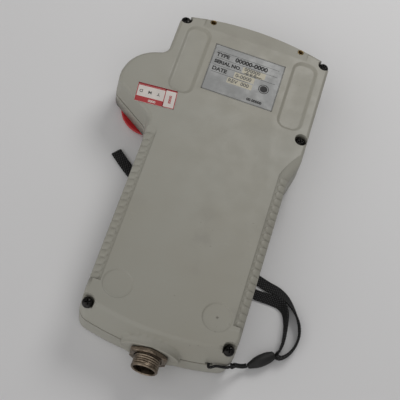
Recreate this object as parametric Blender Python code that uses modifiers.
"""Handheld teach pendant, lying on its front face, as an assembly of separate pieces.

Frame: metres, +Z up.  The pendant lies face down, so +Z points out of its back.
+Y runs from the cable end to the display end, and X = 0 is the centre line.
The origin is on the front rest face, on the bar between the display and the keypad.
"""
import math

import bmesh
import bpy
from mathutils import Matrix, Vector

MM = 0.001

# ---- driving dimensions (metres) ------------------------------------------------
TOP_Y = 112.0 * MM            # display end, on the centre line
END_Y = -139.3 * MM           # cable end, on the centre line, at the parting line
BACK_Z = 38.0 * MM            # back face above the rest face
PARTING_Z = 18.0 * MM         # where the two housings meet
HEAD_HALF = 57.0 * MM         # half width of the display end
GRIP_HALF = 51.7 * MM         # half width of the grip
BOW_RADIUS = 187.0 * MM       # both ends are bowed to this radius
BOW_HALF_SPAN = 44.0 * MM     # half of the bowed stretch
END_SLOPE = 5.3 * MM          # how far the cable end leans in at the back face
SHOULDER_LOW_Y = 0.0 * MM     # the grip starts to widen here
SHOULDER_HIGH_Y = 16.0 * MM   # and reaches the head's width here
LOBE_X, LOBE_Y = -54.6 * MM, 39.9 * MM
LOBE_RADIUS = 28.0 * MM

WALL = 3.0 * MM               # side walls
BACK_WALL = 2.6 * MM          # back panel
GAP = 0.3 * MM                # between pieces that touch
FIT = 0.25 * MM               # round a piece in its own hole
EDGE = 3.2 * MM               # how far the rounded edges reach in

# front face levels: the rest face is z = 0
GRIP_FRONT_Z = 4.6 * MM       # keypad panel, raised off the rest face
LOBE_FRONT_Z = 7.0 * MM       # round the stop button
PANEL = 2.8 * MM              # thickness of the front panels
RECESS_LOW_Y = -124.0 * MM    # the keypad panel's ends
RECESS_HIGH_Y = -4.0 * MM

# display
WINDOW_X, WINDOW_Y = 0.0, 81.0 * MM
WINDOW_W, WINDOW_D = 82.0 * MM, 32.0 * MM
LENS_LIP = 2.8 * MM
LENS_T = 2.0 * MM
LCD_T = 7.0 * MM

# keys
KEY_COLS, KEY_ROWS = 4, 4
KEY_PITCH_X, KEY_PITCH_Y = 20.0 * MM, 22.0 * MM
KEY_W, KEY_D = 15.0 * MM, 12.0 * MM
KEYS_Y = -71.0 * MM           # middle of the key block
FKEY_COUNT = 3
FKEY_PITCH = 26.0 * MM
FKEY_W, FKEY_D = 20.0 * MM, 9.0 * MM
FKEY_Y = -15.0 * MM
KEY_PROUD = 2.0 * MM
KEY_TRAVEL = 1.0 * MM
KEY_FLANGE = 1.5 * MM
KEY_FLANGE_T = 1.0 * MM

# stop button
STOP_X, STOP_Y = -56.5 * MM, 37.3 * MM
STOP_RADIUS = 20.0 * MM
STOP_FACE_Z = 0.9 * MM
STOP_RIM = 2.7 * MM
STOP_STEM = 7.4 * MM
STOP_TRAVEL = 3.0 * MM
STOP_SLEEVE = 10.9 * MM
STOP_WELL = STOP_RADIUS + 3.5 * MM

# screws: place, seat height, direction in which the well is open, or None
SCREW_HEAD = 3.6 * MM
SCREW_HEAD_T = 3.3 * MM
SCREW_SHANK = 1.5 * MM
WELL_RADIUS = 4.4 * MM
BOSS_RADIUS = 6.3 * MM
INSERT_RADIUS = 2.1 * MM
INSERT_LENGTH = 6.0 * MM
SCREWS = (
    ("top_left", -52.4 * MM, TOP_Y - 11.0 * MM, 32.2 * MM, 135.0),
    ("top_right", 52.4 * MM, TOP_Y - 11.0 * MM, 32.2 * MM, 45.0),
    ("side", 51.6 * MM, 34.3 * MM, 32.2 * MM, None),
    ("end_left", -46.8 * MM, END_Y + 11.7 * MM, 31.8 * MM, 180.0),
    ("end_right", 46.4 * MM, END_Y + 11.7 * MM, 31.8 * MM, 0.0),
)

# back face details
BAND_Y = TOP_Y - 13.0 * MM            # the hanger band starts here
BAND_HALF = 39.1 * MM
BAND_DROP = 2.2 * MM          # how far it falls at the display end
HANGER_X, HANGER_Y = 33.3 * MM, TOP_Y - 6.1 * MM
HANGER_RADIUS = 2.1 * MM
HANGER_BORE = 1.4 * MM
HANGER_LENGTH = 8.0 * MM
PAD_X, PAD_Y = 40.1 * MM, 68.0 * MM
PAD_W, PAD_D, PAD_DEPTH = 18.0 * MM, 58.0 * MM, 0.8 * MM
DISC_X, DISC_Y = 33.1 * MM, -110.8 * MM
DISC_RADIUS, DISC_DEPTH = 10.0 * MM, 0.35 * MM
PLATE_X, PLATE_Y = 0.0, 68.3 * MM
PLATE_W, PLATE_D, PLATE_T = 52.0 * MM, 40.0 * MM, 0.3 * MM
STICKER_X, STICKER_Y, STICKER_TURN = -53.0 * MM, 29.9 * MM, 5.6
STICKER_W, STICKER_D, STICKER_T = 28.0 * MM, 15.5 * MM, 0.15 * MM
STRIP_X = 43.9 * MM           # inner edge of the ribbed grip strips
STRIP_LOW_Y, STRIP_HIGH_Y = -112.6 * MM, 1.6 * MM
STRIP_DROP = 3.4 * MM         # how far the strip falls at the side
STRIP_STEP = 0.4 * MM
RIB_COUNT = 21
RIB_GROOVE_W, RIB_GROOVE_DEPTH = 1.8 * MM, 0.7 * MM

# connector on the cable end
SOCKET_Z = PARTING_Z
SOCKET_RADIUS = 8.8 * MM
SOCKET_BORE = 7.2 * MM
SOCKET_REACH = 13.2 * MM      # barrel beyond the end
SOCKET_FLANGE = 11.5 * MM
ARCH_HALF_W, ARCH_HALF_H = 19.5 * MM, 12.8 * MM
ARCH_PROUD = 1.9 * MM
NUT_FLATS, NUT_T = 24.0 * MM, 3.0 * MM
PIN_COUNT = 8
PIN_RADIUS = 0.6 * MM
PIN_CIRCLE = 4.4 * MM

# wrist strap
NOTCH_X, NOTCH_W, NOTCH_H = 37.5 * MM, 4.4 * MM, 2.6 * MM
CORD_RADIUS = 0.9 * MM
LEAD_RADIUS = 1.3 * MM
WEB_W, WEB_T = 7.6 * MM, 0.9 * MM

# seal
SEAL_IN, SEAL_W, SEAL_H = 0.6 * MM, 1.0 * MM, 1.25 * MM


# ---- materials ---------------------------------------------------------------------
def material(name, colour, roughness, metallic=0.0, alpha=1.0):
    mat = bpy.data.materials.new(name)
    mat.use_nodes = True
    shader = mat.node_tree.nodes["Principled BSDF"]
    shader.inputs["Base Color"].default_value = (*colour, 1.0)
    shader.inputs["Roughness"].default_value = roughness
    shader.inputs["Metallic"].default_value = metallic
    shader.inputs["Alpha"].default_value = alpha
    mat.diffuse_color = (*colour, 1.0)
    return mat


COLOURS = {
    "housing": ((0.42, 0.42, 0.37), 0.55, 0.0),
    "key_grey": ((0.62, 0.62, 0.58), 0.5, 0.0),
    "key_blue": ((0.10, 0.20, 0.36), 0.5, 0.0),
    "red": ((0.62, 0.03, 0.03), 0.35, 0.0),
    "black_plastic": ((0.02, 0.02, 0.02), 0.4, 0.0),
    "black_screw": ((0.015, 0.015, 0.015), 0.35, 0.8),
    "brass": ((0.55, 0.40, 0.18), 0.35, 1.0),
    "nickel": ((0.42, 0.36, 0.30), 0.35, 1.0),
    "steel": ((0.6, 0.6, 0.6), 0.3, 1.0),
    "rubber": ((0.03, 0.03, 0.03), 0.8, 0.0),
    "board": ((0.03, 0.18, 0.08), 0.5, 0.0),
    "lens": ((0.55, 0.60, 0.58), 0.1, 0.0),
    "plate": ((0.55, 0.56, 0.57), 0.4, 0.3),
    "sticker": ((0.75, 0.10, 0.08), 0.6, 0.0),
    "strap": ((0.02, 0.02, 0.02), 0.9, 0.0),
}


# ---- outlines ------------------------------------------------------------------------
def rounded(corners, inset=0.0, steps=None):
    """A closed outline from (x, y, radius) corners, moved inwards by inset.

    Each corner gets as many points whatever the inset, so two outlines can be lofted.
    """
    count = len(corners)
    points = [Vector((x, y)) for x, y, _ in corners]
    lines = []
    for i in range(count):
        along = (points[(i + 1) % count] - points[i]).normalized()
        inward = Vector((-along.y, along.x))
        lines.append((points[i] + inward * inset, along))
    outline = []
    for i in range(count):
        p, u = lines[i - 1]
        q, v = lines[i]
        cross = u.x * v.y - u.y * v.x
        corner = p + u * (((q - p).x * v.y - (q - p).y * v.x) / cross)
        turn = math.atan2(cross, u.dot(v))
        radius = max(corners[i][2] - math.copysign(inset, turn), 0.2 * MM)
        reach = radius * math.tan(abs(turn) / 2)
        start = corner - u * reach
        side = Vector((-u.y, u.x)) * math.copysign(1.0, turn)
        centre = start + side * radius
        parts = steps or max(2, round(2 + 22 * abs(turn) * corners[i][2] ** 0.5))
        for k in range(parts + 1):
            angle = turn * k / parts
            outline.append(centre + Matrix.Rotation(angle, 2) @ (start - centre))
    return outline


def bow_corner(end_y):
    """The corner on the centre line whose rounding is the bowed end."""
    lean = math.asin(BOW_HALF_SPAN / BOW_RADIUS)
    return end_y + math.copysign(BOW_RADIUS * (1 / math.cos(lean) - 1), end_y)


def bow_line(end_y, x):
    """Where the straight line beside a bowed end meets this x."""
    lean = math.asin(BOW_HALF_SPAN / BOW_RADIUS)
    return bow_corner(end_y) - math.copysign(abs(x) * math.tan(lean), end_y)


def body_corners(lean=0.0):
    """The pendant's outline seen from its back; lean moves the cable end inwards."""
    end = END_Y + lean
    lobe_left = LOBE_X - LOBE_RADIUS
    tangent = math.radians(20.0)
    touch = (LOBE_X - LOBE_RADIUS * math.sin(tangent), LOBE_Y + LOBE_RADIUS * math.cos(tangent))
    slope = math.tan(tangent)
    neck_y = touch[1] + (-HEAD_HALF - touch[0]) * slope
    crown_y = touch[1] + (lobe_left - touch[0]) * slope
    return [
        (GRIP_HALF, bow_line(end, GRIP_HALF), 9 * MM),
        (GRIP_HALF, SHOULDER_LOW_Y, 30 * MM),
        (HEAD_HALF, SHOULDER_HIGH_Y, 30 * MM),
        (HEAD_HALF, bow_line(TOP_Y, HEAD_HALF), 5 * MM),
        (0.0, bow_corner(TOP_Y), BOW_RADIUS),
        (-HEAD_HALF, bow_line(TOP_Y, HEAD_HALF), 5 * MM),
        (-HEAD_HALF, neck_y, 7 * MM),
        (lobe_left, crown_y, LOBE_RADIUS),
        (lobe_left, LOBE_Y - 6.6 * MM, 10 * MM),
        (-GRIP_HALF - 1.2 * MM, LOBE_Y - 26.4 * MM, 9 * MM),
        (-GRIP_HALF, SHOULDER_LOW_Y - 4 * MM, 60 * MM),
        (-GRIP_HALF, bow_line(end, GRIP_HALF), 9 * MM),
        (0.0, bow_corner(end), BOW_RADIUS),
    ]


def ring(inset, z, lean=0.0):
    return [Vector((p.x, p.y, z)) for p in rounded(body_corners(lean), inset)]


def rectangle(width, depth, radius, z, x=0.0, y=0.0):
    w, d = width / 2, depth / 2
    corners = [(w, -d, radius), (w, d, radius), (-w, d, radius), (-w, -d, radius)]
    return [Vector((p.x + x, p.y + y, z)) for p in rounded(corners, steps=2)]


# ---- builders --------------------------------------------------------------------------
def clear_scene():
    for item in list(bpy.data.objects):
        bpy.data.objects.remove(item)


def collection(name):
    made = bpy.data.collections.new(name)
    bpy.context.scene.collection.children.link(made)
    return made


def finish(bm, name, mat, parent=None, sharp=35.0):
    """Make an object of a bmesh; mat None makes it a cutter."""
    bmesh.ops.recalc_face_normals(bm, faces=bm.faces)
    mesh = bpy.data.meshes.new(name)
    bm.to_mesh(mesh)
    bm.free()
    item = bpy.data.objects.new(name, mesh)
    if mat is None:
        CUTTERS.objects.link(item)
        item.hide_render = True
        item.display_type = "WIRE"
    else:
        PARTS.objects.link(item)
        mesh.materials.append(MATERIALS[mat])
        mesh.shade_smooth()
        mesh.set_sharp_from_angle(angle=math.radians(sharp))
    if parent is not None:
        item.parent = parent
        item.matrix_parent_inverse = parent.matrix_basis.inverted()
    return item


def loft(rings, name, mat, wrap=False, parent=None, sharp=35.0):
    """Skin a chain of like rings; caps close it unless it wraps round to its start."""
    bm = bmesh.new()
    made = [[bm.verts.new(p) for p in points] for points in rings]
    count = len(made[0])
    chain = made + made[:1] if wrap else made
    for low, high in zip(chain, chain[1:]):
        for i in range(count):
            j = (i + 1) % count
            bm.faces.new((low[i], low[j], high[j], high[i]))
    if not wrap:
        bm.faces.new(list(reversed(made[0])))
        bm.faces.new(made[-1])
    return finish(bm, name, mat, parent, sharp)


def box(low, high, name, mat=None, bevel=0.0):
    bm = bmesh.new()
    bmesh.ops.create_cube(bm, size=1.0)
    size = Vector(high) - Vector(low)
    bmesh.ops.scale(bm, vec=size, verts=bm.verts)
    bmesh.ops.translate(bm, vec=(Vector(low) + Vector(high)) / 2, verts=bm.verts)
    if bevel:
        bmesh.ops.bevel(bm, geom=bm.edges[:], offset=bevel, segments=1, affect="EDGES")
    return finish(bm, name, mat)


def disc(centre, radius, low, high, name, mat=None, sides=20, axis="Z", turn=0.0):
    """A cylinder from low to high along its axis, Z or Y."""
    bm = bmesh.new()
    bmesh.ops.create_cone(bm, cap_ends=True, segments=sides, radius1=radius, radius2=radius,
                          depth=high - low)
    bmesh.ops.rotate(bm, verts=bm.verts, matrix=Matrix.Rotation(turn, 3, "Z"))
    bmesh.ops.translate(bm, verts=bm.verts, vec=(0, 0, (low + high) / 2))
    if axis == "Y":
        bmesh.ops.rotate(bm, verts=bm.verts, matrix=Matrix.Rotation(-math.pi / 2, 3, "X"))
    bmesh.ops.translate(bm, verts=bm.verts, vec=centre)
    return finish(bm, name, mat)


def turned(profile, name, mat, x=0.0, y=0.0, z=0.0, axis="Z", steps=24, closed=True, parent=None):
    """Turn a profile of (radius, height), drawn down its outer side, about an axis."""
    mesh = bpy.data.meshes.new(name)
    edges = [(i, i + 1) for i in range(len(profile) - 1)]
    if closed:
        edges.append((len(profile) - 1, 0))
    mesh.from_pydata([(r, 0.0, h) for r, h in profile], edges, [])
    item = bpy.data.objects.new(name, mesh)
    PARTS.objects.link(item)
    mesh.materials.append(MATERIALS[mat])
    screw = item.modifiers.new("turn", "SCREW")
    screw.steps = steps
    screw.render_steps = steps
    screw.use_merge_vertices = True
    screw.merge_threshold = 0.00001
    screw.use_smooth_shade = True
    item.location = (x, y, z)
    if axis == "Y":
        item.rotation_euler = (-math.pi / 2, 0, 0)
    if parent is not None:
        item.parent = parent
        item.matrix_parent_inverse = parent.matrix_basis.inverted()
    return item


def tube(points, radius, name, mat, sides=2):
    """A round cord along a list of points."""
    curve = bpy.data.curves.new(name, "CURVE")
    curve.dimensions = "3D"
    curve.bevel_depth = radius
    curve.bevel_resolution = sides
    curve.use_fill_caps = True
    spline = curve.splines.new("POLY")
    spline.points.add(len(points) - 1)
    for spot, p in zip(spline.points, points):
        spot.co = (*p, 1.0)
    item = bpy.data.objects.new(name, curve)
    PARTS.objects.link(item)
    curve.materials.append(MATERIALS[mat])
    return item


def smooth_route(knots, spacing):
    """Points a spacing apart along a smooth curve through the knots."""
    spots = [Vector(k) for k in knots]
    ends = [2 * spots[0] - spots[1]] + spots + [2 * spots[-1] - spots[-2]]
    fine = []
    for a, b, c, d in zip(ends, ends[1:], ends[2:], ends[3:]):
        for k in range(24):
            t = k / 24
            fine.append(0.5 * ((2 * b) + (c - a) * t + (2 * a - 5 * b + 4 * c - d) * t ** 2
                               + (3 * b - a - 3 * c + d) * t ** 3))
    fine.append(spots[-1])
    total = sum((q - p).to_3d().length for p, q in zip(fine, fine[1:]))
    count = max(2, round(total / spacing))
    route = [fine[0]]
    run, target = 0.0, total / count
    for p, q in zip(fine, fine[1:]):
        step = (q - p).to_3d().length
        while run + step >= target and len(route) < count:
            route.append(p.lerp(q, (target - run) / step))
            target += total / count
        run += step
    route.append(fine[-1])
    return route


def combine(item, tool, operation="DIFFERENCE"):
    """Boolean one piece with a tool that stays in the scene as a guide."""
    change = item.modifiers.new(operation.lower(), "BOOLEAN")
    change.operation = operation
    change.object = tool
    change.solver = "EXACT"


def empty(name, place):
    item = bpy.data.objects.new(name, None)
    PARTS.objects.link(item)
    item.location = place
    return item


# ---- housings -------------------------------------------------------------------------------
def lean_at(z):
    """How far the cable end leans in at this height."""
    return max(0.0, END_SLOPE * (z - PARTING_Z) / (BACK_Z - PARTING_Z))


def shell_rings(levels):
    """Rings of the body's outline at (inset, z) levels, leaning in at the cable end."""
    return [ring(inset, z, lean_at(z)) for inset, z in levels]


def open_side(x, y, turn, low, high, name):
    """The box that opens a screw's well towards the outside."""
    bm = bmesh.new()
    bmesh.ops.create_cube(bm, size=1.0)
    bmesh.ops.scale(bm, verts=bm.verts, vec=(12 * MM, 2 * WELL_RADIUS, high - low))
    bmesh.ops.translate(bm, verts=bm.verts, vec=(6 * MM, 0, 0))
    bmesh.ops.rotate(bm, verts=bm.verts, matrix=Matrix.Rotation(math.radians(turn), 3, "Z"))
    bmesh.ops.translate(bm, verts=bm.verts, vec=(x, y, (low + high) / 2))
    return finish(bm, name, None)


def arch(name):
    """The oval boss round the connector, across both housings."""
    face_y = END_Y - ARCH_PROUD
    rings = []
    for y in (face_y, END_Y + WALL + 1 * MM):
        rings.append([Vector((ARCH_HALF_W * math.cos(a), y, SOCKET_Z + ARCH_HALF_H * math.sin(a)))
                      for a in (2 * math.pi * k / 40 for k in range(40))])
    return loft(rings, name, None)


def half_space(low, high, name):
    return box((-0.2, -0.3, low), (0.2, 0.3, high), name)


def rear_housing():
    rim = PARTING_Z + GAP / 2
    body = loft(shell_rings([(0.0, rim), (0.6 * MM, BACK_Z - 2.8 * MM), (1.1 * MM, BACK_Z - 1.3 * MM),
                             (2.0 * MM, BACK_Z - 0.4 * MM), (EDGE, BACK_Z)]),
                "rear_housing", "housing")
    arch_half = arch("rear_arch")
    combine(arch_half, half_space(-0.02, rim, "rear_arch_trim"))
    combine(body, arch_half, "UNION")
    cavity = loft(shell_rings([(WALL, rim - 2 * MM), (WALL + 0.6 * MM, BACK_Z - BACK_WALL - 1 * MM),
                               (WALL + 1.6 * MM, BACK_Z - BACK_WALL)]), "rear_cavity", None)
    for label, x, y, _, _ in SCREWS:
        combine(cavity, disc((x, y, 0), BOSS_RADIUS, 0, 0.06, "rear_boss_" + label))
    for side in (-1, 1):
        combine(cavity, disc((side * HANGER_X, HANGER_Y, 0), HANGER_RADIUS + 2.5 * MM,
                             BACK_Z - HANGER_LENGTH - 4 * MM, 0.06, "hanger_boss_%d" % side))
    combine(body, cavity)
    for label, x, y, seat, turn in SCREWS:
        combine(body, disc((x, y, 0), WELL_RADIUS, seat, 0.06, "well_" + label))
        if turn is not None:
            combine(body, open_side(x, y, turn, seat, 0.06, "well_mouth_" + label))
        combine(body, disc((x, y, 0), SCREW_SHANK + FIT, 0, 0.05, "screw_hole_" + label, sides=16))
    combine(body, hanger_band())
    for side in (-1, 1):
        combine(body, disc((side * HANGER_X, HANGER_Y, 0), HANGER_RADIUS + FIT,
                           BACK_Z - BAND_DROP - HANGER_LENGTH, 0.06, "hanger_hole_%d" % side))
        combine(body, loft([rectangle(PAD_W, PAD_D, 6 * MM, z, side * PAD_X, PAD_Y)
                            for z in (BACK_Z - PAD_DEPTH, BACK_Z + 1 * MM)], "pad_%d" % side, None))
        combine(body, disc((side * DISC_X, DISC_Y, 0), DISC_RADIUS, BACK_Z - DISC_DEPTH, 0.06,
                           "disc_recess_%d" % side, sides=32))
        combine(body, strip_wedge(side))
        combine(body, rib_grooves(side))
    pocket = (PLATE_W / 2 + FIT, PLATE_D / 2 + FIT)
    combine(body, box((PLATE_X - pocket[0], PLATE_Y - pocket[1], BACK_Z - PLATE_T - GAP),
                      (PLATE_X + pocket[0], PLATE_Y + pocket[1], 0.06), "plate_pocket"))
    socket_holes(body, "rear")
    combine(body, box((NOTCH_X - NOTCH_W / 2, -0.15, 0), (NOTCH_X + NOTCH_W / 2, -0.12, rim + NOTCH_H),
                      "strap_notch"))
    return body


def hanger_band():
    """The wedge cut off the back face at the display end."""
    bm = bmesh.new()
    bmesh.ops.create_cube(bm, size=1.0)
    length, height = 40 * MM, 10 * MM
    bmesh.ops.scale(bm, verts=bm.verts, vec=(2 * BAND_HALF, length, height))
    bmesh.ops.translate(bm, verts=bm.verts, vec=(0, length / 2, height / 2))
    bmesh.ops.rotate(bm, verts=bm.verts, matrix=Matrix.Rotation(-band_angle(), 3, "X"))
    bmesh.ops.translate(bm, verts=bm.verts, vec=(0, BAND_Y, BACK_Z))
    return finish(bm, "hanger_band", None)


def band_angle():
    return math.atan(BAND_DROP / (TOP_Y - BAND_Y))


def strip_angle():
    return math.atan(STRIP_DROP / (GRIP_HALF - STRIP_X))


def strip_wedge(side):
    """Cuts the sloping step of a grip strip along one long edge."""
    bm = bmesh.new()
    bmesh.ops.create_cube(bm, size=1.0)
    width, height = 20 * MM, 10 * MM
    bmesh.ops.scale(bm, verts=bm.verts, vec=(width, STRIP_HIGH_Y - STRIP_LOW_Y, height))
    bmesh.ops.translate(bm, verts=bm.verts, vec=(width / 2, 0, height / 2))
    bmesh.ops.rotate(bm, verts=bm.verts, matrix=Matrix.Rotation(strip_angle(), 3, "Y"))
    bmesh.ops.translate(bm, verts=bm.verts, vec=(STRIP_X, (STRIP_HIGH_Y + STRIP_LOW_Y) / 2,
                                                 BACK_Z - STRIP_STEP))
    if side < 0:
        bmesh.ops.scale(bm, verts=bm.verts, vec=(-1, 1, 1))
    return finish(bm, "strip_wedge_%d" % side, None)


def rib_grooves(side):
    """The grooves between the ribs of one grip strip."""
    bm = bmesh.new()
    pitch = (STRIP_HIGH_Y - STRIP_LOW_Y) / RIB_COUNT
    for k in range(1, RIB_COUNT):
        cube = bmesh.ops.create_cube(bm, size=1.0)["verts"]
        bmesh.ops.scale(bm, verts=cube, vec=(14 * MM, RIB_GROOVE_W, 6 * MM))
        bmesh.ops.translate(bm, verts=cube, vec=(8 * MM, 0, 3 * MM - RIB_GROOVE_DEPTH))
        bmesh.ops.rotate(bm, verts=cube, matrix=Matrix.Rotation(strip_angle(), 3, "Y"))
        bmesh.ops.translate(bm, verts=cube, vec=(STRIP_X + 0.6 * MM, STRIP_LOW_Y + k * pitch,
                                                 BACK_Z - STRIP_STEP))
    if side < 0:
        bmesh.ops.scale(bm, verts=bm.verts, vec=(-1, 1, 1))
    return finish(bm, "rib_grooves_%d" % side, None)


def front_housing():
    rim = PARTING_Z - GAP / 2
    body = loft([ring(EDGE, 0.0), ring(1.8 * MM, 0.5 * MM), ring(0.9 * MM, 1.8 * MM),
                 ring(0.5 * MM, 4 * MM), ring(0.0, rim)], "front_housing", "housing")
    arch_half = arch("front_arch")
    combine(arch_half, half_space(rim, 0.06, "front_arch_trim"))
    combine(body, arch_half, "UNION")
    floor = GRIP_FRONT_Z + PANEL
    cavity = loft([ring(WALL + 1.6 * MM, floor), ring(WALL + 0.5 * MM, floor + 1.2 * MM),
                   ring(WALL, rim + 2 * MM)], "front_cavity", None)
    for label, x, y, _, _ in SCREWS:
        combine(cavity, disc((x, y, 0), BOSS_RADIUS, -0.01, 0.06, "front_boss_" + label))
    lobe_floor = LOBE_FRONT_Z + PANEL
    combine(cavity, disc((STOP_X, STOP_Y, 0), STOP_WELL + WALL, -0.01, lobe_floor, "lobe_floor", sides=40))
    combine(cavity, box((-0.1, STOP_Y - 34 * MM, -0.01), (STOP_X, STOP_Y + 34 * MM, lobe_floor),
                        "lobe_floor_side"))
    combine(body, cavity)
    combine(body, box((-0.1, RECESS_LOW_Y, -0.01), (0.1, RECESS_HIGH_Y, GRIP_FRONT_Z), "keypad_recess"))
    combine(body, disc((STOP_X, STOP_Y, 0), STOP_WELL, -0.01, LOBE_FRONT_Z, "lobe_recess", sides=40))
    combine(body, box((-0.1, RECESS_HIGH_Y - 1 * MM, -0.01), (STOP_X, STOP_Y + 36 * MM, LOBE_FRONT_Z),
                      "lobe_recess_side"))
    combine(body, disc((STOP_X, STOP_Y, 0), STOP_SLEEVE + FIT, -0.01, 0.016, "stop_hole", sides=32))
    combine(body, disc((STOP_X, STOP_Y, 0), STOP_SLEEVE + 4 * MM, -0.01, LOBE_FRONT_Z + 1.4 * MM,
                       "stop_counterbore", sides=32))
    lens = [rectangle(WINDOW_W + 2 * LENS_LIP, WINDOW_D + 2 * LENS_LIP, 3 * MM, z, WINDOW_X, WINDOW_Y)
            for z in (-1 * MM, LENS_T + 0.9 * MM)]
    combine(body, loft(lens, "lens_pocket", None))
    combine(body, loft([rectangle(WINDOW_W, WINDOW_D, 2 * MM, z, WINDOW_X, WINDOW_Y)
                        for z in (1 * MM, 12 * MM)], "window_opening", None))
    lcd = lcd_size()
    combine(body, box((WINDOW_X - lcd[0] / 2 - GAP, WINDOW_Y - lcd[1] / 2 - GAP, LENS_T + 2.6 * MM),
                      (WINDOW_X + lcd[0] / 2 + GAP, WINDOW_Y + lcd[1] / 2 + GAP, 0.016), "lcd_pocket"))
    for name, x, y, width, depth in key_places():
        hole = [rectangle(width + 2 * GAP, depth + 2 * GAP, 2 * MM, z, x, y) for z in (-0.001, 0.012)]
        combine(body, loft(hole, "hole_" + name, None))
    for label, x, y, _, _ in SCREWS:
        combine(body, disc((x, y, 0), INSERT_RADIUS + FIT, rim - INSERT_LENGTH - GAP, 0.03,
                           "insert_hole_" + label, sides=16))
    groove = [ring(SEAL_IN, rim + 1 * MM), ring(SEAL_IN, rim - SEAL_H),
              ring(SEAL_IN + SEAL_W, rim - SEAL_H), ring(SEAL_IN + SEAL_W, rim + 1 * MM)]
    combine(body, loft(groove, "seal_groove", None, wrap=True))
    socket_holes(body, "front")
    return body


def socket_holes(body, label):
    """The connector's hole, and the flat inside it that its flange sits against."""
    combine(body, disc((0, 0, SOCKET_Z), SOCKET_RADIUS + FIT, -0.2, -0.1, label + "_socket_hole", axis="Y"))
    combine(body, disc((0, 0, SOCKET_Z), SOCKET_FLANGE + GAP, END_Y + WALL + GAP, END_Y + 20 * MM,
                       label + "_flange_room", sides=32, axis="Y"))


def housing_seal():
    """The rubber ring in the front housing's groove; it stops at the connector."""
    rim = PARTING_Z - GAP / 2
    low, high = rim - SEAL_H + GAP, rim - 0.05 * MM
    inner, outer = SEAL_IN + SEAL_W - FIT, SEAL_IN + FIT
    seal = loft([ring(outer, high), ring(outer, low), ring(inner, low), ring(inner, high)],
                "housing_seal", "rubber", wrap=True)
    half = SOCKET_RADIUS + 1.5 * MM
    combine(seal, box((-half, -0.2, 0), (half, -0.1, 0.03), "seal_gap"))
    return seal


# ---- display --------------------------------------------------------------------------------
def lcd_size():
    return (WINDOW_W + 6 * MM, WINDOW_D + 5 * MM, LCD_T)


def display():
    w = WINDOW_W + 2 * LENS_LIP - 2 * GAP
    d = WINDOW_D + 2 * LENS_LIP - 2 * GAP
    low = 0.9 * MM - GAP
    loft([rectangle(w, d, 3 * MM, z, WINDOW_X, WINDOW_Y) for z in (low, low + LENS_T)],
         "display_window", "lens")
    size = lcd_size()
    base = LENS_T + 2.6 * MM + GAP
    box((WINDOW_X - size[0] / 2, WINDOW_Y - size[1] / 2, base),
        (WINDOW_X + size[0] / 2, WINDOW_Y + size[1] / 2, base + size[2]), "lcd_module", "black_plastic",
        bevel=0.5 * MM)


# ---- keys -----------------------------------------------------------------------------------
def key_places():
    """(name, x, y, width, depth) of every key."""
    places = []
    for row in range(KEY_ROWS):
        for col in range(KEY_COLS):
            x = (col - (KEY_COLS - 1) / 2) * KEY_PITCH_X
            y = KEYS_Y + ((KEY_ROWS - 1) / 2 - row) * KEY_PITCH_Y
            places.append(("key_%d_%d" % (row + 1, col + 1), x, y, KEY_W, KEY_D))
    for k in range(FKEY_COUNT):
        places.append(("function_key_%d" % (k + 1), (k - (FKEY_COUNT - 1) / 2) * FKEY_PITCH, FKEY_Y,
                       FKEY_W, FKEY_D))
    return places


def keys():
    face = GRIP_FRONT_Z - KEY_PROUD
    shelf = GRIP_FRONT_Z + PANEL + GAP
    for name, x, y, w, d in key_places():
        body = empty(name + "_travel", (x, y, shelf))
        wide, deep = w + 2 * KEY_FLANGE, d + 2 * KEY_FLANGE
        rings = [rectangle(w - 1.6 * MM, d - 1.6 * MM, 1.2 * MM, face, x, y),
                 rectangle(w, d, 2 * MM, face + 0.8 * MM, x, y),
                 rectangle(w, d, 2 * MM, shelf, x, y),
                 rectangle(wide, deep, 2 * MM, shelf, x, y),
                 rectangle(wide, deep, 2 * MM, shelf + KEY_FLANGE_T, x, y)]
        loft(rings, name, "key_blue" if name.startswith("function") else "key_grey", parent=body)


def keypad_back():
    """The rubber mat and the switch board behind the keys."""
    low = GRIP_FRONT_Z + PANEL + GAP + KEY_FLANGE_T + KEY_TRAVEL + GAP
    half_x = KEY_PITCH_X * KEY_COLS / 2 + 2 * MM
    top, bottom = FKEY_Y + 8 * MM, KEYS_Y - KEY_PITCH_Y * KEY_ROWS / 2 - 2 * MM
    box((-half_x, bottom, low), (half_x, top, low + 1.2 * MM), "key_mat", "rubber")
    low += 1.2 * MM + GAP
    box((-half_x, bottom, low), (half_x, top, low + 1.6 * MM), "key_board", "board")


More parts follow.
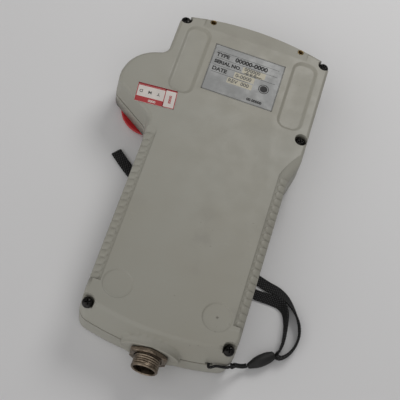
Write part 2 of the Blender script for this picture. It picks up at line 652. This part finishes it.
# ---- electronics ------------------------------------------------------------------------------
def main_board():
    low = 24 * MM
    board = box((-40 * MM, -112 * MM, low), (40 * MM, 52 * MM, low + 1.6 * MM), "main_board", "board")
    chips = ((-18, -30, 28, 28, 3), (16, -32, 20, 14, 2.5), (16, -58, 20, 14, 2.5), (-20, 20, 14, 30, 2),
             (18, 14, 24, 18, 4), (-22, -78, 18, 12, 3), (14, -100, 34, 8, 6), (0, 44, 40, 6, 5))
    for k, (x, y, w, d, h) in enumerate(chips):
        chip = box(((x - w / 2) * MM, (y - d / 2) * MM, low + 1 * MM),
                   ((x + w / 2) * MM, (y + d / 2) * MM, low + (1.6 + h) * MM), "chip_%d" % k)
        combine(board, chip, "UNION")
    ribbon = [(x * MM, y * MM, z * MM) for x, y, z in
              ((0, -8.4, 16.6), (0, -4, 17), (0, -1.5, 20), (0, -4, 23), (0, -10, 23.4))]
    spots = smooth_route(ribbon, 2 * MM)
    rings = []
    for k, p in enumerate(spots):
        ahead = (spots[min(k + 1, len(spots) - 1)] - spots[max(k - 1, 0)]).normalized()
        normal = Vector((0, -ahead.z, ahead.y)) * 0.3 * MM
        rings.append([p + normal + Vector((s * 12 * MM, 0, 0)) for s in (-1, 1)]
                     + [p - normal + Vector((s * 12 * MM, 0, 0)) for s in (1, -1)])
    loft(rings, "ribbon_cable", "key_grey")


def harness():
    start = END_Y + 12 * MM
    knots = [(0, start, SOCKET_Z), (0, start + 5 * MM, SOCKET_Z + 0.5 * MM),
             (6 * MM, start + 13 * MM, SOCKET_Z + 1.5 * MM), (12 * MM, start + 20 * MM, SOCKET_Z + 3 * MM)]
    tube(smooth_route(knots, 3 * MM), 2 * MM, "wire_harness", "black_plastic", sides=1)


# ---- stop button ---------------------------------------------------------------------------------
def stop_button():
    at = {"x": STOP_X, "y": STOP_Y}
    slider = empty("stop_travel", (STOP_X, STOP_Y, LOBE_FRONT_Z))
    twist = empty("stop_twist", (STOP_X, STOP_Y, LOBE_FRONT_Z))
    rim_top = STOP_FACE_Z + STOP_RIM
    stem_top = LOBE_FRONT_Z - 0.2 * MM
    turned([(0, stem_top), (STOP_STEM, stem_top), (STOP_STEM, rim_top), (STOP_RADIUS - 0.8 * MM, rim_top),
            (STOP_RADIUS, rim_top - 0.6 * MM), (STOP_RADIUS, rim_top - 1.6 * MM),
            (STOP_RADIUS - 2 * MM, STOP_FACE_Z + 0.3 * MM), (0, STOP_FACE_Z)],
           "stop_button_head", "red", closed=False, parent=twist, steps=32, **at)
    collar_low = LOBE_FRONT_Z + 0.2 * MM
    flange_top = LOBE_FRONT_Z + 1.4 * MM - GAP
    sleeve_top = LOBE_FRONT_Z + 9 * MM
    bore = STOP_STEM + FIT
    turned([(STOP_SLEEVE, sleeve_top), (STOP_SLEEVE, flange_top), (STOP_SLEEVE + 3.6 * MM, flange_top),
            (STOP_SLEEVE + 3.6 * MM, collar_low), (bore, collar_low), (bore, sleeve_top)],
           "stop_button_collar", "black_plastic", **at)
    nut_low = LOBE_FRONT_Z + PANEL + GAP
    turned([(STOP_SLEEVE + 2.6 * MM, nut_low + 3 * MM), (STOP_SLEEVE + 2.6 * MM, nut_low),
            (STOP_SLEEVE + FIT, nut_low), (STOP_SLEEVE + FIT, nut_low + 3 * MM)],
           "stop_button_locknut", "steel", steps=24, **at)
    shoulder = sleeve_top + GAP
    turned([(0, shoulder + 1.6 * MM), (STOP_STEM + 1.4 * MM, shoulder + 1.6 * MM),
            (STOP_STEM + 1.4 * MM, shoulder), (STOP_STEM - 0.4 * MM, shoulder),
            (STOP_STEM - 0.4 * MM, stem_top + GAP), (0, stem_top + GAP)],
           "stop_button_plunger", "black_plastic", closed=False, parent=slider, **at)
    block_out = STOP_STEM + 4.4 * MM
    block_in = STOP_STEM + 1.4 * MM + GAP
    roof = BACK_Z - BACK_WALL - 4.4 * MM
    turned([(0, roof + 2.4 * MM), (block_out, roof + 2.4 * MM), (block_out, sleeve_top + GAP),
            (block_in, sleeve_top + GAP), (block_in, roof), (0, roof)],
           "stop_contact_block", "black_plastic", closed=False, **at)
    low, high = shoulder + 1.6 * MM + 0.8 * MM, roof - 0.8 * MM
    turns, per_turn, radius = 5, 8, 5.6 * MM
    coil = []
    for k in range(turns * per_turn + 1):
        angle = 2 * math.pi * k / per_turn
        coil.append(Vector((STOP_X + radius * math.cos(angle), STOP_Y + radius * math.sin(angle),
                            low + (high - low) * k / (turns * per_turn))))
    tube(coil, 0.45 * MM, "stop_button_spring", "steel", sides=0)


# ---- fasteners --------------------------------------------------------------------------------------
def fasteners():
    rim = PARTING_Z - GAP / 2
    for label, x, y, seat, _ in SCREWS:
        head_low = seat + GAP
        head_high = head_low + SCREW_HEAD_T
        tip = rim - INSERT_LENGTH + 1 * MM
        turned([(0, head_high), (SCREW_HEAD * 0.72, head_high - 0.4 * MM), (SCREW_HEAD, head_high - 1.6 * MM),
                (SCREW_HEAD, head_low), (SCREW_SHANK, head_low), (SCREW_SHANK, tip), (0, tip)],
               "case_screw_" + label, "black_screw", x=x, y=y, closed=False, steps=16)
        base = rim - INSERT_LENGTH
        bore = SCREW_SHANK + 0.1 * MM
        turned([(INSERT_RADIUS, rim - 0.1 * MM), (INSERT_RADIUS, base), (bore, base), (bore, rim - 0.1 * MM)],
               "case_insert_" + label, "brass", x=x, y=y, steps=16)
    for side, label in ((-1, "left"), (1, "right")):
        top = BACK_Z - BAND_DROP * (HANGER_Y - BAND_Y) / (TOP_Y - BAND_Y)
        base = BACK_Z - BAND_DROP - HANGER_LENGTH + GAP
        turned([(HANGER_RADIUS, top), (HANGER_RADIUS, base), (HANGER_BORE, base), (HANGER_BORE, top)],
               "hanger_insert_" + label, "brass", x=side * HANGER_X, y=HANGER_Y, steps=20)


# ---- labels -----------------------------------------------------------------------------------------
def labels():
    low = BACK_Z - PLATE_T
    box((PLATE_X - PLATE_W / 2, PLATE_Y - PLATE_D / 2, low),
        (PLATE_X + PLATE_W / 2, PLATE_Y + PLATE_D / 2, low + PLATE_T), "rating_plate", "plate")
    bm = bmesh.new()
    bmesh.ops.create_cube(bm, size=1.0)
    bmesh.ops.scale(bm, verts=bm.verts, vec=(STICKER_W, STICKER_D, STICKER_T))
    bmesh.ops.rotate(bm, verts=bm.verts, matrix=Matrix.Rotation(math.radians(STICKER_TURN), 3, "Z"))
    bmesh.ops.translate(bm, verts=bm.verts, vec=(STICKER_X, STICKER_Y, BACK_Z + 0.1 * MM + STICKER_T / 2))
    finish(bm, "inspection_sticker", "sticker")


# ---- connector -----------------------------------------------------------------------------------------
def connector():
    """The panel connector; its turned pieces lie along Y, outside end at low Y."""
    at = {"z": SOCKET_Z, "axis": "Y"}
    mouth = END_Y - SOCKET_REACH
    face = END_Y - ARCH_PROUD
    wall = END_Y + WALL + 0.7 * MM
    back = wall + 0.8 * MM + GAP + 2 * MM
    turned([(SOCKET_FLANGE, back), (SOCKET_FLANGE, back - 2 * MM),
            (SOCKET_RADIUS, back - 2 * MM), (SOCKET_RADIUS, mouth + 0.6 * MM),
            (SOCKET_RADIUS - 0.5 * MM, mouth), (SOCKET_BORE, mouth), (SOCKET_BORE, back)],
           "connector_shell", "nickel", steps=32, **at)
    turned([(SOCKET_FLANGE - 0.2 * MM, wall + 0.8 * MM), (SOCKET_FLANGE - 0.2 * MM, wall),
            (SOCKET_RADIUS + FIT, wall), (SOCKET_RADIUS + FIT, wall + 0.8 * MM)],
           "connector_washer", "rubber", **at)
    nut = disc((0, 0, SOCKET_Z), NUT_FLATS / 2 / math.cos(math.pi / 6), face - GAP - NUT_T, face - GAP,
               "connector_nut", "nickel", sides=6, axis="Y", turn=math.pi / 6)
    combine(nut, disc((0, 0, SOCKET_Z), SOCKET_RADIUS + FIT, -0.2, -0.1, "nut_bore", sides=32, axis="Y"))
    insert = disc((0, 0, SOCKET_Z), SOCKET_BORE - GAP, END_Y - 1 * MM, END_Y + 5 * MM, "connector_insert",
                  "black_plastic", sides=24, axis="Y")
    for k in range(PIN_COUNT):
        angle = 2 * math.pi * k / PIN_COUNT
        place = (PIN_CIRCLE * math.cos(angle), 0, SOCKET_Z + PIN_CIRCLE * math.sin(angle))
        combine(insert, disc(place, PIN_RADIUS, mouth + 5.5 * MM, END_Y + 8 * MM, "pin_%d" % k, sides=6,
                             axis="Y"), "UNION")


# ---- wrist strap ---------------------------------------------------------------------------------------------
# Routes in millimetres: the cord leaves its notch, turns the corner and meets the knot,
# the doubled lead runs on to the joiner, and the webbing loop passes under the grip.
CORD_ROUTE = ((37.5, -131.0, 19.4), (37.5, -134.5, 19.4), (37.9, -137.0, 19.6), (39.4, -137.3, 21.0),
              (42.2, -135.7, 21.6), (46.0, -134.6, 20.6), (49.6, -132.9, 18.2), (51.8, -130.4, 15.2))
LEAD_ROUTE = ((55.1, -127.4, 10.4), (57.6, -126.2, 7.9), (60.2, -124.7, 5.7), (62.6, -123.0, 4.4))
KNOT = (53.2, -128.6, 12.8)
KNOT_SIZE = (2.1, 1.8, 2.4)
JOINER_ENDS = ((63.2, -122.5, 4.3), (77.7, -109.3, 4.3))
WEB_OUT = ((79.0, -109.7, 4.0, 90), (82.6, -109.6, 4.0, 90), (86.6, -105.6, 4.0, 88), (89.6, -99.0, 4.0, 86),
           (90.5, -91.5, 4.0, 84), (88.8, -84.0, 3.9, 80), (85.2, -77.6, 3.8, 70), (80.0, -71.4, 3.4, 52),
           (74.6, -66.9, 2.6, 30), (68.6, -64.0, 1.6, 12), (62.0, -62.6, 0.9, 2), (54.0, -60.3, 0.6, 0),
           (38.0, -55.0, 0.6, 0), (10.0, -44.4, 0.6, 0), (-20.0, -31.4, 0.6, 0), (-42.0, -20.8, 0.6, 0),
           (-56.0, -11.4, 0.6, 0), (-67.6, -2.0, 0.6, 0))
WEB_BACK = ((-67.6, -2.0, 1.8, 0), (-56.0, -11.4, 1.8, 0), (-42.0, -20.8, 1.8, 0), (-20.0, -33.6, 1.8, 0),
            (10.0, -49.4, 1.8, 0), (38.0, -64.6, 1.6, 0), (52.0, -70.4, 1.2, 0), (60.0, -71.2, 1.0, -4),
            (67.0, -71.4, 1.6, -16), (73.0, -73.0, 2.8, -40), (77.2, -77.4, 3.7, -66), (79.6, -84.6, 4.0, -82),
            (80.9, -92.6, 4.0, -88), (81.3, -99.6, 4.0, -90), (80.4, -105.4, 4.0, -90), (78.6, -108.4, 4.0, -90))


def web_stations():
    """(centre, tangent, side) along the webbing: out, round its folded end, and back."""
    onward = Vector(WEB_OUT[-1][:3]) - Vector(WEB_OUT[-2][:3])
    onward = Vector((onward.x, onward.y, 0)).normalized()
    runs = []
    for knots, facing in ((WEB_OUT, 1), (WEB_BACK, -1)):
        spots = smooth_route([(x * MM, y * MM, z * MM, math.radians(t)) for x, y, z, t in knots], 4.5 * MM)
        run = []
        for k, spot in enumerate(spots):
            ahead = (spots[min(k + 1, len(spots) - 1)] - spots[max(k - 1, 0)]).to_3d().normalized()
            level = facing * Vector((-ahead.y, ahead.x, 0)).normalized()
            run.append((spot.to_3d(), ahead, Matrix.Rotation(facing * spot.w, 3, ahead) @ level))
        runs.append(run)
    out, back = runs
    centre = (out[-1][0] + back[0][0]) / 2
    radius = (back[0][0].z - out[-1][0].z) / 2
    fold = []
    for k in range(1, 6):
        angle = math.pi * k / 6
        spot = centre + onward * radius * math.sin(angle) - Vector((0, 0, radius * math.cos(angle)))
        fold.append((spot, onward * math.cos(angle) + Vector((0, 0, math.sin(angle))),
                     Vector((-onward.y, onward.x, 0))))
    return out + fold + back


def webbing():
    rings = []
    for spot, ahead, side in web_stations():
        wide = side * (WEB_W / 2)
        thick = ahead.cross(side).normalized() * (WEB_T / 2)
        rings.append([spot + wide + thick, spot - wide + thick, spot - wide - thick, spot + wide - thick])
    loft(rings, "strap_webbing", "strap")


def strap():
    tube(smooth_route([tuple(v * MM for v in p) for p in CORD_ROUTE], 2.2 * MM), CORD_RADIUS,
         "strap_cord", "strap")
    tube(smooth_route([tuple(v * MM for v in p) for p in LEAD_ROUTE], 2.2 * MM), LEAD_RADIUS,
         "strap_lead", "strap")
    bm = bmesh.new()
    bmesh.ops.create_uvsphere(bm, u_segments=12, v_segments=8, radius=1.0)
    bmesh.ops.scale(bm, verts=bm.verts, vec=Vector(KNOT_SIZE) * MM)
    bmesh.ops.translate(bm, verts=bm.verts, vec=Vector(KNOT) * MM)
    finish(bm, "strap_knot", "strap")
    start, end = (Vector(p) * MM for p in JOINER_ENDS)
    length = (end - start).length
    profile = ((0.0, 1.7), (0.1, 2.3), (0.28, 3.5), (0.5, 4.1), (0.75, 3.9), (0.93, 3.1), (1.0, 2.6))
    joiner = turned([(0, length)] + [(r * MM, share * length) for share, r in reversed(profile)] + [(0, 0)],
                    "strap_joiner", "black_plastic", closed=False, steps=16)
    joiner.location = start
    joiner.rotation_mode = "QUATERNION"
    joiner.rotation_quaternion = (end - start).to_track_quat("Z", "Y")
    webbing()


# ---- assembly -------------------------------------------------------------------------------------------------
clear_scene()
PARTS = collection("teach_pendant")
CUTTERS = collection("cutters")
MATERIALS = {name: material(name, *values) for name, values in COLOURS.items()}
rear_housing()
front_housing()
housing_seal()
display()
keys()
keypad_back()
main_board()
harness()
stop_button()
fasteners()
labels()
connector()
strap()
